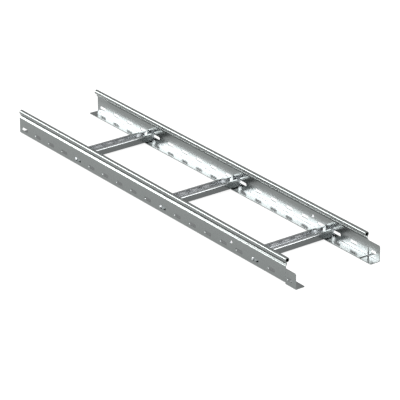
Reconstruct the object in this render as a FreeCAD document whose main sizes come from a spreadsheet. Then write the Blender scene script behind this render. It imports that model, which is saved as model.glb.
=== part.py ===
import FreeCAD, Part
import math
import os
import Sketcher

# Cable ladder section: two roll-formed side rails and three slotted C rungs.
# X runs along the ladder from its plain end to its splice tabs, Y across it, Z up.
# The origin is at the bottom centre of the whole ladder, level with the tabs' underside.

DRIVING_SIZES = [
    ("sheet_thickness", 1.5),
    ("bend_radius", 1.0),
    ("clear_width", 200.0),
    ("section_length", 915.0),
    ("rail_height", 51.5),
    ("bead_diameter", 10.0),
    ("bead_overhang", 0.5),
    ("bead_seam", 0.6),
    ("shoulder_height", 34.6),
    ("shoulder_slope", 47.0),
    ("neck_lean", 26.0),
    ("flange_width", 23.0),
    ("tab_length", 30.0),
    ("tab_height", 33.0),
    ("tab_corner", 2.0),
    ("joggle_run", 3.0),
    ("joggle_play", 0.1),
    ("slot_pitch", 50.0),
    ("slot_length", 22.0),
    ("slot_width", 7.0),
    ("first_slot", 20.0),
    ("web_slot_height", 12.3),
    ("tab_slot_length", 16.0),
    ("tab_slot_station", 12.5),
    ("earth_hole_diameter", 6.5),
    ("earth_hole_height", 22.0),
    ("earth_hole_setback", 170.0),
    ("rung_pitch", 300.0),
    ("first_rung", 195.0),
    ("rung_width", 30.0),
    ("rung_height", 15.0),
    ("rung_lip", 7.0),
    ("rung_end_gap", 4.0),
    ("rung_slot_pitch", 30.0),
    ("rung_slot_count", 4.0),
    ("rung_slot_length", 18.0),
    ("rung_slot_width", 7.0),
]

# Lengths that follow from the driving sizes.
SHEET = "Sizes.sheet_thickness"
OUTER_BEND = f"(Sizes.bend_radius + {SHEET})"
OUTER_HALF = f"(Sizes.clear_width / 2 + {SHEET})"
JOGGLE = f"({SHEET} + Sizes.joggle_play)"
HALF_LENGTH = "((Sizes.section_length + Sizes.tab_length) / 2)"
TAB_ROOT = f"(Sizes.section_length - {HALF_LENGTH})"
FULL_SECTION = "(Sizes.section_length - Sizes.joggle_run)"
FIRST_SLOT = f"(Sizes.first_slot - {HALF_LENGTH})"
SLOT_COUNT = f"(floor(({FULL_SECTION} - Sizes.first_slot - Sizes.slot_length / 2) / Sizes.slot_pitch) + 1)"
RUNG_COUNT = "(floor((Sizes.section_length - Sizes.first_rung) / Sizes.rung_pitch) + 1)"
TAB_SLOT = f"({TAB_ROOT} + Sizes.tab_slot_station)"
RUNG_SEAT = f"({JOGGLE} + {SHEET})"
RUNG_LENGTH = "(Sizes.clear_width - 2 * Sizes.rung_end_gap)"

TOLERANCE = 0.01
START, END, CENTRE = range(1, 4)
ORIGIN_POINT = (-1, 1)
AXIS_ACROSS, AXIS_UPWARDS = -1, -2
SKETCH_NORMAL = FreeCAD.Vector(0, 0, 1)

doc = FreeCAD.newDocument("cable_ladder_section")
sizes = doc.addObject("Spreadsheet::Sheet", "Sizes")
for row, (alias, size) in enumerate(DRIVING_SIZES, start=1):
    sizes.set(f"A{row}", alias)
    sizes.set(f"B{row}", str(size))
    sizes.setAlias(f"B{row}", alias)
doc.recompute()


def value_of(expression):
    """The present value of an expression on the sheet."""
    return float(sizes.evalExpression(expression.replace("Sizes.", "")))


def point(horizontal, vertical):
    """A sketch point from two expressions."""
    return FreeCAD.Vector(value_of(horizontal), value_of(vertical), 0)


# Bodies, sketches and their constraints

def new_body(label):
    """An empty body whose label names its file."""
    body = doc.addObject("PartDesign::Body", label)
    body.Label = label
    return body


def origin_feature(body, role):
    """The body's own plane or axis of that role."""
    return next(item for item in body.Origin.OriginFeatures if item.Role == role)


def new_sketch(body, name, plane, **offsets):
    """A sketch on an origin plane, moved along the plane's own axes by expressions."""
    sketch = body.newObject("Sketcher::SketchObject", name)
    sketch.AttachmentSupport = (origin_feature(body, plane), [""])
    sketch.MapMode = "FlatFace"
    for axis, expression in offsets.items():
        sketch.setExpression(f".AttachmentOffset.Base.{axis}", expression)
    return sketch


def constrain(sketch, kind, *places):
    """A constraint without a size."""
    return sketch.addConstraint(Sketcher.Constraint(kind, *places))


def dimension(sketch, kind, places, expression):
    """A named distance, radius or diameter that follows the sheet."""
    index = constrain(sketch, kind, *places, value_of(expression))
    name = f"size_{index}"
    sketch.renameConstraint(index, name)
    sketch.setExpression(f"Constraints.{name}", expression)


def hold(sketch, kind, place, expression):
    """Hold a point at a signed distance from the sketch's origin."""
    value = value_of(expression)
    if abs(value) < TOLERANCE:
        constrain(sketch, "PointOnObject", *place, AXIS_UPWARDS if kind == "DistanceX" else AXIS_ACROSS)
    elif value > 0:
        dimension(sketch, kind, (*ORIGIN_POINT, *place), expression)
    else:
        dimension(sketch, kind, (*place, *ORIGIN_POINT), f"-({expression})")


def add_line(sketch, start, end):
    """A straight edge."""
    return sketch.addGeometry(Part.LineSegment(start, end), False)


def add_arc(sketch, middle, radius, first_angle, last_angle):
    """Arc about a point, angles in degrees, counterclockwise."""
    circle = Part.Circle(middle, SKETCH_NORMAL, radius)
    arc = Part.ArcOfCircle(circle, math.radians(first_angle), math.radians(last_angle))
    return sketch.addGeometry(arc, False)


def held_chain(sketch, corners):
    """Lines through the corners, the start of each held at its place."""
    places = [point(*corner) for corner in corners]
    lines = [add_line(sketch, start, end) for start, end in zip(places, places[1:])]
    for line, follower in zip(lines, lines[1:]):
        constrain(sketch, "Coincident", line, END, follower, START)
    for line, (horizontal, vertical) in zip(lines, corners):
        hold(sketch, "DistanceX", (line, START), horizontal)
        hold(sketch, "DistanceY", (line, START), vertical)
    return lines


def held_outline(sketch, corners):
    """Closed outline of straight lines, every corner held at its place."""
    lines = held_chain(sketch, corners + corners[:1])
    constrain(sketch, "Coincident", lines[-1], END, lines[0], START)


def slot_outline(sketch, middle, length, width, along):
    """Round-ended slot along x or y: two half circles joined by two straight sides."""
    half_run = f"(({length}) - ({width})) / 2"
    centre = point(*middle)
    radius = value_of(width) / 2
    reach = value_of(half_run)
    turn = 0 if along == "x" else 90
    forward = FreeCAD.Vector(math.cos(math.radians(turn)), math.sin(math.radians(turn)), 0)
    sideways = FreeCAD.Vector(-forward.y, forward.x, 0) * radius
    far_end, near_end = centre + forward * reach, centre - forward * reach
    far_arc = add_arc(sketch, far_end, radius, turn - 90, turn + 90)
    left_side = add_line(sketch, far_end + sideways, near_end + sideways)
    near_arc = add_arc(sketch, near_end, radius, turn + 90, turn + 270)
    right_side = add_line(sketch, near_end - sideways, far_end - sideways)
    loop = [far_arc, left_side, near_arc, right_side]
    for edge, follower in zip(loop, loop[1:] + loop[:1]):
        constrain(sketch, "Tangent", edge, END, follower, START)
    for side in (left_side, right_side):
        constrain(sketch, "Horizontal" if along == "x" else "Vertical", side)
    dimension(sketch, "Radius", (far_arc,), f"({width}) / 2")
    run_kind, cross_kind = ("DistanceX", "DistanceY") if along == "x" else ("DistanceY", "DistanceX")
    run_place, cross_place = middle if along == "x" else reversed(middle)
    hold(sketch, run_kind, (far_arc, CENTRE), f"{run_place} + {half_run}")
    hold(sketch, run_kind, (near_arc, CENTRE), f"{run_place} - {half_run}")
    hold(sketch, cross_kind, (far_arc, CENTRE), cross_place)


def round_outline(sketch, middle, diameter):
    """A circle held at its centre."""
    circle = Part.Circle(point(*middle), SKETCH_NORMAL, value_of(diameter) / 2)
    ring = sketch.addGeometry(circle, False)
    dimension(sketch, "Diameter", (ring,), diameter)
    hold(sketch, "DistanceX", (ring, CENTRE), middle[0])
    hold(sketch, "DistanceY", (ring, CENTRE), middle[1])


# Solid features

def add_pad(body, sketch, name, length, side_type="One side"):
    """Extrude a sketch along its normal, or to both sides of it."""
    pad = body.newObject("PartDesign::Pad", name)
    pad.Profile = sketch
    pad.SideType = side_type
    pad.setExpression("Length", length)
    doc.recompute()
    return pad


def add_pocket(body, sketch, name, depth):
    """Cut a sketch to a depth along its normal and make sure that it took material away."""
    before = body.Shape.Volume
    pocket = body.newObject("PartDesign::Pocket", name)
    pocket.Profile = sketch
    pocket.Reversed = True
    pocket.setExpression("Length", depth)
    doc.recompute()
    if body.Shape.Volume >= before:
        raise RuntimeError(f"{name} cuts nothing")
    return pocket


def repeat(body, feature, name, role, pitch, count):
    """Copies of a feature in a row along one of the body's axes."""
    pattern = body.newObject("PartDesign::LinearPattern", name)
    pattern.Originals = [feature]
    pattern.Direction = (origin_feature(body, role), [""])
    pattern.setExpression("Occurrences", count)
    pattern.setExpression("Length", f"{pitch} * ({count} - 1)")
    body.Tip = pattern
    doc.recompute()
    return pattern


def edges_at(shape, along, places):
    """Names of the straight edges along an axis whose other two coordinates are given."""
    names = []
    for number, edge in enumerate(shape.Edges, start=1):
        span = edge.BoundBox
        reach = {"x": span.XLength, "y": span.YLength, "z": span.ZLength}
        if reach.pop(along) < TOLERANCE or max(reach.values()) > TOLERANCE:
            continue
        middle = {"x": span.Center.x, "y": span.Center.y, "z": span.Center.z}
        if any(all(abs(middle[axis] - where) < TOLERANCE for axis, where in place.items())
               for place in places):
            names.append(f"Edge{number}")
    if len(names) < len(places):
        raise RuntimeError(f"found {len(names)} of {len(places)} edges along {along}")
    return names


def add_fillet(body, base, name, edges, radius):
    """Round the named edges of a feature."""
    fillet = body.newObject("PartDesign::Fillet", name)
    fillet.Base = (base, edges)
    fillet.setExpression("Radius", radius)
    doc.recompute()
    return fillet


# Side rails

BEAD_RADIUS = "(Sizes.bead_diameter / 2)"
BEAD_INWARDS = f"({BEAD_RADIUS} - Sizes.bead_overhang)"
BEAD_UPWARDS = f"(Sizes.rail_height - {BEAD_RADIUS})"
SHOULDER_UNDER = f"(Sizes.shoulder_height - {SHEET} / cos(Sizes.shoulder_slope))"


def valley_corner(shoulder_start, bead_radius):
    """Corner between shoulder and neck, on the sheet's outer or inner side.

    The shoulder's face leaves the plane of the web's outer face at shoulder_start and climbs
    inwards. The neck's face leans outwards and touches a circle of bead_radius.
    """
    climb, lean = "tan(Sizes.shoulder_slope)", "Sizes.neck_lean"
    reach = (f"{BEAD_INWARDS} * cos({lean}) + ({BEAD_UPWARDS} - {shoulder_start}) * sin({lean})"
             f" - {bead_radius}")
    inwards = f"(({reach}) / (cos({lean}) + {climb} * sin({lean})))"
    return inwards, f"({shoulder_start} + {inwards} * {climb})"


OUTER_WEB_TOP = ("0", "Sizes.shoulder_height")
INNER_WEB_TOP = (SHEET, f"({SHOULDER_UNDER} + {SHEET} * tan(Sizes.shoulder_slope))")
OUTER_VALLEY = valley_corner("Sizes.shoulder_height", BEAD_RADIUS)
INNER_VALLEY = valley_corner(SHOULDER_UNDER, f"({BEAD_RADIUS} - {SHEET})")


def rail_section_sketch(body):
    """Full rail section, one bent sheet: flange, web, sloped shoulder, leaning neck, rolled bead.

    The sketch's origin is the outer bottom corner of the rail, and its x runs inwards.
    """
    sketch = new_sketch(body, "rail_section", "YZ_Plane",
                        x=f"-{OUTER_HALF}", y=JOGGLE, z=f"-{HALF_LENGTH}")
    lean = value_of("Sizes.neck_lean")
    outer_radius, inner_radius = value_of(BEAD_RADIUS), value_of(f"{BEAD_RADIUS} - {SHEET}")
    middle = point(BEAD_INWARDS, BEAD_UPWARDS)
    across_neck = FreeCAD.Vector(math.cos(math.radians(lean)), math.sin(math.radians(lean)), 0)

    foot = held_chain(sketch, [
        INNER_WEB_TOP, (SHEET, SHEET), ("Sizes.flange_width", SHEET),
        ("Sizes.flange_width", "0"), ("0", "0"), OUTER_WEB_TOP, OUTER_VALLEY])
    inner_shoulder = held_chain(sketch, [INNER_VALLEY, INNER_WEB_TOP])[0]
    inner_neck = add_line(sketch, middle - across_neck * inner_radius, point(*INNER_VALLEY))
    outer_neck = add_line(sketch, point(*OUTER_VALLEY), middle - across_neck * outer_radius)
    constrain(sketch, "Coincident", inner_neck, END, inner_shoulder, START)
    constrain(sketch, "Coincident", inner_shoulder, END, foot[0], START)
    constrain(sketch, "Coincident", foot[-1], END, outer_neck, START)
    for direction, place in zip(("DistanceX", "DistanceY"), OUTER_VALLEY):
        hold(sketch, direction, (outer_neck, START), place)

    seam_to_middle = inner_radius - value_of("Sizes.bead_seam")
    curl_end = lean - 180 + math.degrees(math.acos(seam_to_middle / outer_radius))
    ray = FreeCAD.Vector(math.cos(math.radians(curl_end)), math.sin(math.radians(curl_end)), 0)
    inner_arc = add_arc(sketch, middle, inner_radius, curl_end, lean + 180)
    outer_arc = add_arc(sketch, middle, outer_radius, curl_end, lean + 180)
    sheet_edge = add_line(sketch, middle + ray * inner_radius, middle + ray * outer_radius)
    constrain(sketch, "Tangent", outer_arc, END, outer_neck, END)
    constrain(sketch, "Tangent", inner_arc, END, inner_neck, START)
    constrain(sketch, "Coincident", inner_arc, START, sheet_edge, START)
    constrain(sketch, "Coincident", outer_arc, START, sheet_edge, END)
    constrain(sketch, "Coincident", inner_arc, CENTRE, outer_arc, CENTRE)
    constrain(sketch, "PointOnObject", outer_arc, CENTRE, sheet_edge)
    hold(sketch, "DistanceX", (outer_arc, CENTRE), BEAD_INWARDS)
    hold(sketch, "DistanceY", (outer_arc, CENTRE), BEAD_UPWARDS)
    dimension(sketch, "Radius", (outer_arc,), BEAD_RADIUS)
    dimension(sketch, "Radius", (inner_arc,), f"{BEAD_RADIUS} - {SHEET}")
    dimension(sketch, "Distance", (outer_arc, START, inner_neck), "Sizes.bead_seam")
    return sketch


def angle_section_sketch(body, name, shift, station):
    """Web and flange alone, with their bend, moved outwards and down by a shift."""
    sketch = new_sketch(body, name, "YZ_Plane",
                        x=f"-{OUTER_HALF} - {shift}", y=f"{JOGGLE} - {shift}", z=station)
    edge = held_chain(sketch, [
        (OUTER_BEND, SHEET), ("Sizes.flange_width", SHEET),
        ("Sizes.flange_width", "0"), (OUTER_BEND, "0")])
    top = held_chain(sketch, [
        ("0", OUTER_BEND), ("0", "Sizes.tab_height"),
        (SHEET, "Sizes.tab_height"), (SHEET, OUTER_BEND)])
    middle = point(OUTER_BEND, OUTER_BEND)
    outer_arc = add_arc(sketch, middle, value_of(OUTER_BEND), 180, 270)
    inner_arc = add_arc(sketch, middle, value_of("Sizes.bend_radius"), 180, 270)
    constrain(sketch, "Tangent", outer_arc, START, top[0], START)
    constrain(sketch, "Tangent", outer_arc, END, edge[-1], END)
    constrain(sketch, "Tangent", inner_arc, START, top[-1], END)
    constrain(sketch, "Tangent", inner_arc, END, edge[0], START)
    dimension(sketch, "Radius", (outer_arc,), OUTER_BEND)
    dimension(sketch, "Radius", (inner_arc,), "Sizes.bend_radius")
    return sketch


def rail_corner(inwards, upwards):
    """Place of a long edge, given inwards from the web's face and up from the underside."""
    return {"y": value_of(f"{inwards} - {OUTER_HALF}"), "z": value_of(f"{upwards} + {JOGGLE}")}


def round_rail_bends(body, rail):
    """Turn the sharp corners of the rolled sheet into bends of one inner radius."""
    outer_corners = [rail_corner("0", "0"), rail_corner(*OUTER_WEB_TOP), rail_corner(*INNER_VALLEY)]
    outer_bends = add_fillet(body, rail, "outer_bends",
                             edges_at(rail.Shape, "x", outer_corners), OUTER_BEND)
    inner_corners = [rail_corner(SHEET, SHEET), rail_corner(*INNER_WEB_TOP),
                     rail_corner(*OUTER_VALLEY)]
    add_fillet(body, outer_bends, "inner_bends",
               edges_at(outer_bends.Shape, "x", inner_corners), "Sizes.bend_radius")


def add_splice_tab(body):
    """Web and flange run on beyond the rolled section, joggled out and down by a sheet."""
    ramp_start = angle_section_sketch(body, "joggle_start", "0", f"{TAB_ROOT} - Sizes.joggle_run")
    ramp_end = angle_section_sketch(body, "joggle_end", JOGGLE, TAB_ROOT)
    ramp = body.newObject("PartDesign::AdditiveLoft", "joggle")
    ramp.Profile = ramp_start
    ramp.Sections = [ramp_end]
    ramp.Ruled = True
    doc.recompute()
    tab = add_pad(body, ramp_end, "splice_tab", "Sizes.tab_length")

    end = value_of(f"{TAB_ROOT} + Sizes.tab_length")
    face = value_of(f"{OUTER_HALF} + {JOGGLE}")
    flange_edge = {"x": end, "y": value_of("Sizes.flange_width") - face}
    web_top = {"x": end, "z": value_of("Sizes.tab_height")}
    corners = edges_at(tab.Shape, "z", [flange_edge]) + edges_at(tab.Shape, "y", [web_top])
    add_fillet(body, tab, "tab_corners", corners, "Sizes.tab_corner")


def perforate_rail(body):
    """A row of slots along the web, one slot level with it in the tab, and the earthing hole."""
    depth = f"{OUTER_HALF} + {JOGGLE} + {SHEET}"
    slot_level = f"{JOGGLE} + Sizes.web_slot_height"
    web_slot = new_sketch(body, "web_slot_outline", "XZ_Plane")
    slot_outline(web_slot, (FIRST_SLOT, slot_level), "Sizes.slot_length", "Sizes.slot_width", "x")
    pocket = add_pocket(body, web_slot, "web_slot", depth)
    repeat(body, pocket, "web_slots", "X_Axis", "Sizes.slot_pitch", SLOT_COUNT)

    tab_slot = new_sketch(body, "tab_slot_outline", "XZ_Plane")
    slot_outline(tab_slot, (TAB_SLOT, slot_level), "Sizes.tab_slot_length", "Sizes.slot_width", "x")
    add_pocket(body, tab_slot, "tab_slot", depth)

    earth_hole = new_sketch(body, "earth_hole_outline", "XZ_Plane")
    middle = (f"{TAB_ROOT} - Sizes.earth_hole_setback", f"{JOGGLE} + Sizes.earth_hole_height")
    round_outline(earth_hole, middle, "Sizes.earth_hole_diameter")
    add_pocket(body, earth_hole, "earth_hole", depth)


def build_front_rail():
    """The rail on the -Y side: one sheet, rolled, joggled and punched."""
    body = new_body("side_rail_front")
    rail = add_pad(body, rail_section_sketch(body), "rolled_rail", FULL_SECTION)
    round_rail_bends(body, rail)
    add_splice_tab(body)
    perforate_rail(body)
    return body


def build_rear_rail(front):
    """The rail on the +Y side, the other hand of the front one."""
    rear = doc.addObject("Part::Mirroring", "side_rail_rear")
    rear.Label = "side_rail_rear"
    rear.Source = front
    rear.Normal = FreeCAD.Vector(0, 1, 0)
    doc.recompute()
    return rear


# Rungs

RUNG_HALF = "(Sizes.rung_width / 2)"
RUNG_WALL = f"({RUNG_HALF} - {SHEET})"
RUNG_MOUTH = f"({RUNG_HALF} - Sizes.rung_lip)"
RUNG_LIP_UNDER = f"(Sizes.rung_height - {SHEET})"


def rung_section_sketch(body):
    """C section of a rung, open upwards, its floor's underside on the sketch's x axis."""
    sketch = new_sketch(body, "rung_section", "XZ_Plane")
    one_side = [
        (RUNG_HALF, "0"), (RUNG_HALF, "Sizes.rung_height"), (RUNG_MOUTH, "Sizes.rung_height"),
        (RUNG_MOUTH, RUNG_LIP_UNDER), (RUNG_WALL, RUNG_LIP_UNDER), (RUNG_WALL, SHEET)]
    other_side = [(f"-{along}", upwards) for along, upwards in reversed(one_side)]
    held_outline(sketch, one_side + other_side)
    return sketch


def round_rung_bends(body, rung):
    """Turn the square corners of the C section into bends of one inner radius."""
    def pairs(along, low, high):
        return [{"x": side * value_of(along), "z": value_of(level)}
                for side in (-1, 1) for level in (low, high)]

    outer = edges_at(rung.Shape, "y", pairs(RUNG_HALF, "0", "Sizes.rung_height"))
    outer_bends = add_fillet(body, rung, "outer_bends", outer, OUTER_BEND)
    inner = edges_at(outer_bends.Shape, "y", pairs(RUNG_WALL, SHEET, RUNG_LIP_UNDER))
    add_fillet(body, outer_bends, "inner_bends", inner, "Sizes.bend_radius")


def build_rung(number):
    """One C rung on the two flanges, with slots across its floor."""
    body = new_body(f"rung_{number}")
    rung = add_pad(body, rung_section_sketch(body), "c_channel", RUNG_LENGTH, "Symmetric")
    round_rung_bends(body, rung)

    slot = new_sketch(body, "floor_slot_outline", "XY_Plane")
    first_place = "-(Sizes.rung_slot_count - 1) * Sizes.rung_slot_pitch / 2"
    slot_outline(slot, ("0", first_place), "Sizes.rung_slot_length", "Sizes.rung_slot_width", "y")
    floor_slot = add_pocket(body, slot, "floor_slot", f"2 * {SHEET}")
    repeat(body, floor_slot, "floor_slots", "Y_Axis", "Sizes.rung_slot_pitch", "Sizes.rung_slot_count")

    station = f"Sizes.first_rung + {number - 1} * Sizes.rung_pitch - {HALF_LENGTH}"
    body.setExpression(".Placement.Base.x", station)
    body.setExpression(".Placement.Base.z", RUNG_SEAT)
    doc.recompute()
    return body


def check(pieces):
    """Stop if any object failed, a sketch is loose or a piece isn't one valid solid."""
    for item in doc.Objects:
        if {"Invalid", "Error"} & set(item.State):
            raise RuntimeError(f"{item.Name} failed: {item.State}")
        if item.isDerivedFrom("Sketcher::SketchObject") and not item.FullyConstrained:
            raise RuntimeError(f"{item.Name} isn't fully constrained")
    for piece in pieces:
        shape = piece.Shape
        if shape.isNull() or not shape.isValid() or len(shape.Solids) != 1:
            raise RuntimeError(f"{piece.Label} isn't one valid solid")


front_rail = build_front_rail()
rungs = [build_rung(number) for number in range(1, int(value_of(RUNG_COUNT)) + 1)]
pieces = [front_rail, build_rear_rail(front_rail)] + rungs
doc.recompute()
check(pieces)
os.makedirs("parts", exist_ok=True)
for piece in pieces:
    piece.Shape.exportStep(f"parts/{piece.Label}.step")
    box = piece.Shape.BoundBox
    print(f"{piece.Label}: {piece.Shape.Volume:.0f} mm3, "
          f"x {box.XMin:.2f} to {box.XMax:.2f}, y {box.YMin:.2f} to {box.YMax:.2f}, "
          f"z {box.ZMin:.2f} to {box.ZMax:.2f}")
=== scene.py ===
"""Looks of a galvanised cable ladder section: two rolled side rails and three slotted C rungs."""

import logging
import math
from dataclasses import dataclass, field
from enum import Enum

import bpy
import numpy as np
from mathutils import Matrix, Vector


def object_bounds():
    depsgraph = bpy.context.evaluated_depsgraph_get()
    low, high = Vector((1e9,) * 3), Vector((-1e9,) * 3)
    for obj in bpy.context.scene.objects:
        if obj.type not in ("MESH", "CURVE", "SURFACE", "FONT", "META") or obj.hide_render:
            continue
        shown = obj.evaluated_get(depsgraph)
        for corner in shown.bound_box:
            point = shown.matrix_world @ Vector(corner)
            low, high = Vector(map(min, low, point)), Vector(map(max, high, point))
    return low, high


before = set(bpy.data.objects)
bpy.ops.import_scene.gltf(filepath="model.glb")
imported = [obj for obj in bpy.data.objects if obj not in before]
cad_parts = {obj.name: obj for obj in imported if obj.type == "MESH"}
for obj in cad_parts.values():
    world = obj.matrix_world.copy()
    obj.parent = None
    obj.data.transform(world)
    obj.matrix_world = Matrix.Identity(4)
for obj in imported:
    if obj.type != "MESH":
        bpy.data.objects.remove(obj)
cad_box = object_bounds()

log = logging.getLogger("cable_ladder")

MM = 0.001
WHITE = (1.0, 1.0, 1.0, 1.0)

# Sockets of a Mix node that mixes two colours.
MIX_FIRST, MIX_SECOND, MIX_RESULT = 6, 7, 2


class RollDirection(Enum):
    """Axis along which a sheet ran through its rolls."""

    ALONG_LADDER = "X"
    ACROSS_LADDER = "Y"


def linear_colour(hex_colour: str) -> tuple[float, float, float, float]:
    """Turn an sRGB hex colour into linear red, green, blue and alpha.

    Each channel up to 0.04045 is divided by 12.92, and any other is ((c + 0.055) / 1.055) to
    the power 2.4.

    Args:
        hex_colour: Colour written as "#RRGGBB".

    Returns:
        The linear channels with an alpha of one.
    """
    channels = [int(hex_colour[start:start + 2], 16) / 255 for start in (1, 3, 5)]
    linear = [c / 12.92 if c <= 0.04045 else ((c + 0.055) / 1.055) ** 2.4 for c in channels]
    return (*linear, 1.0)


def direction_from(azimuth_deg: float, elevation_deg: float) -> Vector:
    """Point from the ladder towards a place in the studio.

    The direction is (-sin a cos e, cos a cos e, sin e) for azimuth a, turned about Z from +Y,
    and elevation e above the floor.

    Args:
        azimuth_deg: Turn about Z from +Y, in degrees.
        elevation_deg: Height above the floor, in degrees.

    Returns:
        The direction as a unit vector.
    """
    turn, rise = math.radians(azimuth_deg), math.radians(elevation_deg)
    return Vector((-math.sin(turn) * math.cos(rise), math.cos(turn) * math.cos(rise),
                   math.sin(rise)))


def add_node(tree: bpy.types.NodeTree, kind: str, links: dict | None = None,
             values: dict | None = None, **settings) -> bpy.types.Node:
    """Add one shader node with its settings, fixed values and incoming links.

    Args:
        tree: Node tree that gets the node.
        kind: Blender's name of the node type.
        links: Input name or number to the output socket that feeds it.
        values: Input name or number to its fixed value.
        **settings: Attributes of the node itself.

    Returns:
        The new node.
    """
    node = tree.nodes.new(kind)
    for name, value in settings.items():
        setattr(node, name, value)
    for name, value in (values or {}).items():
        node.inputs[name].default_value = value
    for name, socket in (links or {}).items():
        tree.links.new(socket, node.inputs[name])
    return node


@dataclass(frozen=True)
class GalvanisedSheet:
    """Continuously galvanised sheet steel, rolled to shape: a soft mirror of dull grey zinc.

    The zinc shows the studio as long light and dark bands along every fold. Its spangle gives
    slight changes of tone from crystal to crystal, and the rolls leave hair-fine lines along the
    sheet that change its gloss. Low on the ladder, where sheet faces sheet, the colour is painted
    paler and the metal partly milky, to stand in for light that goes to and fro between the
    faces:
    this is painted hollow light. Faces that look up there, such as the rungs' lips, get a paler
    colour of their own that stands in for the bright reflections they show: a painted highlight.

    Attributes:
        name: Name of the material.
        colour: Tone of the zinc that looks into the open.
        painted_ledge_highlight_colour: Painted highlight tone for faces that look up from low on
            the ladder.
        roughness: Mean roughness of the surface.
        roll: Direction of the roll lines.
        painted_hollow_light_colour: Painted pale tone in a hollow, standing in for light bounced
            between faces.
        painted_hollow_light_metallic: How much of a mirror the zinc stays in a hollow; the rest
            is made milky
        so that it catches more light, as part of the painted hollow light.
        painted_hollow_light_reach_mm: Distance at which another face of the same sheet makes a
            hollow.
        low_height_mm: Height up to which the painted hollow light and ledge highlight show in
            full.
        fade_height_mm: Height at which they have faded out.
        spangle_mm: Width of a crystal, drawn larger than a real one so that it shows.
        line_mm: Spacing of the roll lines, drawn coarser than real ones so that they show.
        line_stretch: Share by which the lines' pattern is squeezed along the roll direction.
    """

    name: str
    colour: str
    painted_ledge_highlight_colour: str
    roughness: float
    roll: RollDirection
    painted_hollow_light_colour: str = "#B1B4B5"
    painted_hollow_light_metallic: float = 1.0
    painted_hollow_light_reach_mm: float = 74.0
    low_height_mm: float = 24.0
    fade_height_mm: float = 30.0
    spangle_mm: float = 7.0
    line_mm: float = 1.1
    line_stretch: float = 0.02

    def build(self) -> bpy.types.Material:
        """Make the node material.

        Returns:
            The material, named for its finish.
        """
        material = bpy.data.materials.new(self.name)
        material.use_nodes = True
        tree = material.node_tree
        tree.nodes.clear()
        texture_space = add_node(tree, "ShaderNodeTexCoord")
        place, normal = texture_space.outputs["Object"], texture_space.outputs["Normal"]
        low = self.low_on_ladder(tree, place)
        # Paler colour in hollows and on low faces that look up: painted hollow light and painted
        # highlight.
        hollow = self.painted_hollow_light_share(tree, low)
        tone = self.tone_with_painted_light(tree, hollow, self.painted_ledge_highlight_share(tree, normal, low))
        # In hollows the metal is made partly milky so that it catches more light: more painted
        # hollow light.
        polish = add_node(tree, "ShaderNodeMapRange", {"Value": hollow},
                          {"To Min": 1.0, "To Max": self.painted_hollow_light_metallic})
        metal = add_node(tree, "ShaderNodeBsdfPrincipled",
                         {"Base Color": self.with_spangle(tree, place, tone),
                          "Metallic": polish.outputs["Result"],
                          "Roughness": self.lined_roughness(tree, place)})
        add_node(tree, "ShaderNodeOutputMaterial", {"Surface": metal.outputs["BSDF"]})
        return material

    def low_on_ladder(self, tree: bpy.types.NodeTree,
                      place: bpy.types.NodeSocket) -> bpy.types.NodeSocket:
        """Share that is one near the floor and fades to nought between the two heights.

        Args:
            tree: Node tree of the material.
            place: Object coordinates.

        Returns:
            The share.
        """
        height = add_node(tree, "ShaderNodeSeparateXYZ", {"Vector": place})
        low = add_node(tree, "ShaderNodeMapRange", {"Value": height.outputs["Z"]},
                       {"From Min": self.low_height_mm * MM, "From Max": self.fade_height_mm * MM,
                        "To Min": 1.0, "To Max": 0.0})
        return low.outputs["Result"]

    def painted_hollow_light_share(self, tree: bpy.types.NodeTree,
                     low: bpy.types.NodeSocket) -> bpy.types.NodeSocket:
        """Share of the painted hollow light: how shut in a point is, times how low it is.

        A point is shut in by the part of its sky that its own sheet covers within reach. It
        counts in full at two thirds covered and not at all at a twentieth.

        Args:
            tree: Node tree of the material.
            low: Share for the height.

        Returns:
            The share.
        """
        open_sky = add_node(tree, "ShaderNodeAmbientOcclusion",
                            values={"Distance": self.painted_hollow_light_reach_mm * MM},
                            samples=16, only_local=True)
        shut_in = add_node(tree, "ShaderNodeMapRange", {"Value": open_sky.outputs["AO"]},
                           {"From Min": 0.35, "From Max": 0.95, "To Min": 1.0, "To Max": 0.0})
        hollow = add_node(tree, "ShaderNodeMath", {0: shut_in.outputs["Result"], 1: low},
                          operation="MULTIPLY")
        return hollow.outputs["Value"]

    def painted_ledge_highlight_share(self, tree: bpy.types.NodeTree, normal: bpy.types.NodeSocket,
                    low: bpy.types.NodeSocket) -> bpy.types.NodeSocket:
        """Share of the painted ledge highlight: how far a face looks up, times how low it is.

        Args:
            tree: Node tree of the material.
            normal: Direction in which the face looks.
            low: Share for the height.

        Returns:
            The share.
        """
        facing = add_node(tree, "ShaderNodeSeparateXYZ", {"Vector": normal})
        upward = add_node(tree, "ShaderNodeMapRange", {"Value": facing.outputs["Z"]},
                          {"From Min": 0.2, "From Max": 0.6})
        ledge = add_node(tree, "ShaderNodeMath", {0: upward.outputs["Result"], 1: low},
                         operation="MULTIPLY")
        return ledge.outputs["Value"]

    def tone_with_painted_light(self, tree: bpy.types.NodeTree, hollow: bpy.types.NodeSocket,
                  ledge: bpy.types.NodeSocket) -> bpy.types.NodeSocket:
        """Mix the open tone with the painted ledge highlight, and the result with the painted
        hollow light.

        Args:
            tree: Node tree of the material.
            hollow: Share of the painted hollow light.
            ledge: Share of the painted ledge highlight.

        Returns:
            The mixed colour.
        """
        open_zinc = add_node(tree, "ShaderNodeMix", {"Factor": ledge},
                             {MIX_FIRST: linear_colour(self.colour),
                              MIX_SECOND: linear_colour(self.painted_ledge_highlight_colour)}, data_type="RGBA")
        zinc = add_node(tree, "ShaderNodeMix",
                        {"Factor": hollow, MIX_FIRST: open_zinc.outputs[MIX_RESULT]},
                        {MIX_SECOND: linear_colour(self.painted_hollow_light_colour)}, data_type="RGBA")
        return zinc.outputs[MIX_RESULT]

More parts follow.
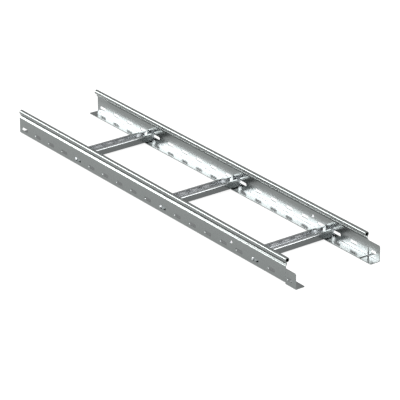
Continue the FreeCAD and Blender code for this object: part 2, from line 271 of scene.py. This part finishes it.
    def with_spangle(self, tree: bpy.types.NodeTree, place: bpy.types.NodeSocket,
                     tone: bpy.types.NodeSocket) -> bpy.types.NodeSocket:
        """Make a colour up to a fiftieth darker or lighter from one crystal to the next.

        Args:
            tree: Node tree of the material.
            place: Object coordinates.
            tone: Colour of the zinc.

        Returns:
            The colour with its spangle.
        """
        crystal = add_node(tree, "ShaderNodeTexVoronoi", {"Vector": place},
                           {"Scale": 1 / (self.spangle_mm * MM)})
        change = add_node(tree, "ShaderNodeMapRange", {"Value": crystal.outputs["Color"]},
                          {"To Min": 0.98, "To Max": 1.02})
        spangled = add_node(tree, "ShaderNodeVectorMath",
                            {0: tone, 1: change.outputs["Result"]}, operation="MULTIPLY")
        return spangled.outputs["Vector"]

    def lined_roughness(self, tree: bpy.types.NodeTree,
                        place: bpy.types.NodeSocket) -> bpy.types.NodeSocket:
        """Vary the roughness by up to 15 hundredths in fine lines along the roll direction.

        Args:
            tree: Node tree of the material.
            place: Object coordinates.

        Returns:
            The roughness.
        """
        if self.roll is RollDirection.ALONG_LADDER:
            stretch = (self.line_stretch, 1.0, 1.0)
        else:
            stretch = (1.0, self.line_stretch, 1.0)
        along = add_node(tree, "ShaderNodeMapping", {"Vector": place}, {"Scale": stretch})
        lines = add_node(tree, "ShaderNodeTexNoise", {"Vector": along.outputs["Vector"]},
                         {"Scale": 1 / (self.line_mm * MM), "Detail": 2.0})
        gloss = add_node(tree, "ShaderNodeMapRange", {"Value": lines.outputs["Fac"]},
                         {"To Min": self.roughness * 0.85, "To Max": self.roughness * 1.15})
        return gloss.outputs["Result"]


def dress_nodes(prefix: str, finish: GalvanisedSheet) -> None:
    """Put one finish on every face of the model's nodes whose names start alike.

    Args:
        prefix: Start of the nodes' names.
        finish: Finish for them.
    """
    material = finish.build()
    for name in sorted(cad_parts):
        if name.startswith(prefix):
            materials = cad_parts[name].data.materials
            materials.clear()
            materials.append(material)
            log.info("%s dressed in %s", name, material.name)


@dataclass
class SideRails:
    """The two rolled and punched rails; their hollows get painted hollow light, but zinc that
    looks up gets no painted highlight there.
    """

    # The rails keep the default hollow tone: painted hollow light low on their inner faces.
    finish: GalvanisedSheet = GalvanisedSheet(
        "galvanised_rail_sheet", colour="#7D8180", painted_ledge_highlight_colour="#7D8180", roughness=0.23,
        roll=RollDirection.ALONG_LADDER)

    def dress(self) -> None:
        """Give both rails their zinc skin."""
        dress_nodes("side_rail", self.finish)


@dataclass
class Rungs:
    """The C rungs between the rails: painted pale and milky inside their deep channels, with a
    painted highlight on their lips and a darker tone that stands in for shade.
    """

    # The rung zinc is painted darker than the rails' zinc to stand in for the shade on the rungs'
    # near faces: painted shade. Its ledge tone is a painted highlight on the lips, its hollow
    # tone painted light in the channels.
    finish: GalvanisedSheet = GalvanisedSheet(
        "galvanised_rung_sheet", colour="#656868", painted_ledge_highlight_colour="#A8ABAC", roughness=0.20,
        roll=RollDirection.ACROSS_LADDER, painted_hollow_light_colour="#CED0D2", painted_hollow_light_metallic=0.75,
        painted_hollow_light_reach_mm=30.0)

    def dress(self) -> None:
        """Give every rung its zinc skin."""
        dress_nodes("rung", self.finish)


@dataclass
class StudioCamera:
    """Long lens that looks down at the ladder from beside its splice end."""

    azimuth_deg: float = 53.386
    elevation_deg: float = 24.193
    distance_m: float = 5.1723
    aim: tuple[float, float, float] = (0.01259, 0.01694, -0.0134)
    focal_mm: float = 229.79
    sensor_mm: float = 36.0
    clip_end_m: float = 100.0

    def build(self) -> bpy.types.Object:
        """Place the camera and make it the scene's camera.

        It looks along the direction at its azimuth and at its elevation below the level, and it
        stands its distance back from the aim.

        Returns:
            The camera.
        """
        look = direction_from(self.azimuth_deg, -self.elevation_deg)
        data = bpy.data.cameras.new("studio_camera")
        data.lens = self.focal_mm
        data.sensor_width = self.sensor_mm
        data.clip_end = self.clip_end_m
        camera = bpy.data.objects.new("studio_camera", data)
        camera.location = Vector(self.aim) - look * self.distance_m
        camera.rotation_euler = look.to_track_quat("-Z", "Y").to_euler()
        bpy.context.scene.collection.objects.link(camera)
        bpy.context.scene.camera = camera
        return camera


@dataclass(frozen=True)
class Softbox:
    """Flat studio light that faces the ladder."""

    name: str
    azimuth_deg: float
    elevation_deg: float
    width_m: float
    height_m: float
    radiance: float
    distance_m: float = 8.0

    def build(self) -> bpy.types.Object:
        """Place the light; its power is radiance times pi times its area.

        Returns:
            The light.
        """
        towards = direction_from(self.azimuth_deg, self.elevation_deg)
        data = bpy.data.lights.new(self.name, "AREA")
        data.shape = "RECTANGLE"
        data.size = self.width_m
        data.size_y = self.height_m
        data.energy = self.radiance * math.pi * self.width_m * self.height_m
        lamp = bpy.data.objects.new(self.name, data)
        lamp.location = towards * self.distance_m
        lamp.rotation_euler = (-towards).to_track_quat("-Z", "Y").to_euler()
        bpy.context.scene.collection.objects.link(lamp)
        return lamp


@dataclass
class Studio:
    """Pale floor, soft lights and a dim dome round the ladder."""

    floor_half_m: float = 30.0
    floor_colour: str = "#909090"
    floor_lift: float = 0.82
    wall_strength: float = 0.40
    wall_top_deg: float = 22.0
    ceiling_strength: float = 1.00
    ceiling_edge_deg: float = 45.0
    softboxes: list[Softbox] = field(default_factory=lambda: [
        Softbox("key_softbox", azimuth_deg=127.5, elevation_deg=22.0,
                width_m=3.6, height_m=2.5, radiance=11.0),
        Softbox("back_softbox", azimuth_deg=-53.4, elevation_deg=26.0,
                width_m=4.2, height_m=3.6, radiance=7.0),
        Softbox("camera_side_softbox", azimuth_deg=-126.6, elevation_deg=26.0,
                width_m=5.0, height_m=4.2, radiance=6.0),
    ])

    def build(self) -> None:
        """Make the floor, the lights and the world."""
        self.make_floor()
        for softbox in self.softboxes:
            softbox.build()
            log.info("%s placed", softbox.name)
        self.make_world()

    def make_floor(self) -> None:
        """Lay a flat square of matt paper at the level of the ladder's underside."""
        half = self.floor_half_m
        level = cad_box[0][2]
        corners = np.array([(-half, -half, level), (half, -half, level),
                            (half, half, level), (-half, half, level)])
        mesh = bpy.data.meshes.new("studio_floor")
        mesh.from_pydata(corners.tolist(), [], [(0, 1, 2, 3)])
        mesh.materials.append(self.matt_paper())
        floor = bpy.data.objects.new("studio_floor", mesh)
        bpy.context.scene.collection.objects.link(floor)

    def matt_paper(self) -> bpy.types.Material:
        """Matt paper backdrop: grey under the lights, lifted to white where it is seen.

        The lift is a faint glow that camera, glossy and transmission rays see, so that metal
        shows the same floor as the picture does. The lit part keeps the ladder's shadow.

        Returns:
            The material.
        """
        material = bpy.data.materials.new("matt_paper_backdrop")
        material.use_nodes = True
        tree = material.node_tree
        tree.nodes.clear()
        paper = add_node(tree, "ShaderNodeBsdfDiffuse",
                         values={"Color": linear_colour(self.floor_colour)})
        rays = add_node(tree, "ShaderNodeLightPath")
        camera_or_glossy = add_node(tree, "ShaderNodeMath", {0: rays.outputs["Is Camera Ray"],
                                                             1: rays.outputs["Is Glossy Ray"]},
                                    operation="MAXIMUM")
        seen = add_node(tree, "ShaderNodeMath", {0: camera_or_glossy.outputs["Value"],
                                                 1: rays.outputs["Is Transmission Ray"]},
                        operation="MAXIMUM")
        lift = add_node(tree, "ShaderNodeMath", {0: seen.outputs["Value"]},
                        {1: self.floor_lift}, operation="MULTIPLY")
        glow = add_node(tree, "ShaderNodeEmission", {"Strength": lift.outputs["Value"]},
                        {"Color": WHITE})
        lifted_paper = add_node(tree, "ShaderNodeAddShader", {0: paper.outputs["BSDF"],
                                                              1: glow.outputs["Emission"]})
        add_node(tree, "ShaderNodeOutputMaterial", {"Surface": lifted_paper.outputs["Shader"]})
        return material

    def make_world(self) -> None:
        """White dome, dim up to the top of the walls and brightest over the ceiling's edge.

        Between the two its strength grows evenly with the sine of the elevation.
        """
        world = bpy.data.worlds.new("studio_dome")
        world.use_nodes = True
        tree = world.node_tree
        tree.nodes.clear()
        direction = add_node(tree, "ShaderNodeTexCoord").outputs["Generated"]
        parts = add_node(tree, "ShaderNodeSeparateXYZ", {"Vector": direction})
        strength = add_node(tree, "ShaderNodeMapRange", {"Value": parts.outputs["Z"]},
                            {"From Min": math.sin(math.radians(self.wall_top_deg)),
                             "From Max": math.sin(math.radians(self.ceiling_edge_deg)),
                             "To Min": self.wall_strength, "To Max": self.ceiling_strength})
        dome = add_node(tree, "ShaderNodeBackground", {"Strength": strength.outputs["Result"]},
                        {"Color": WHITE})
        add_node(tree, "ShaderNodeOutputWorld", {"Surface": dome.outputs["Background"]})
        bpy.context.scene.world = world


def main() -> None:
    """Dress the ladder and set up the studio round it."""
    logging.basicConfig(level=logging.INFO, format="%(name)s: %(message)s")
    bpy.context.scene.view_settings.view_transform = "Standard"
    SideRails().dress()
    Rungs().dress()
    StudioCamera().build()
    Studio().build()


if __name__ == "__main__":
    main()
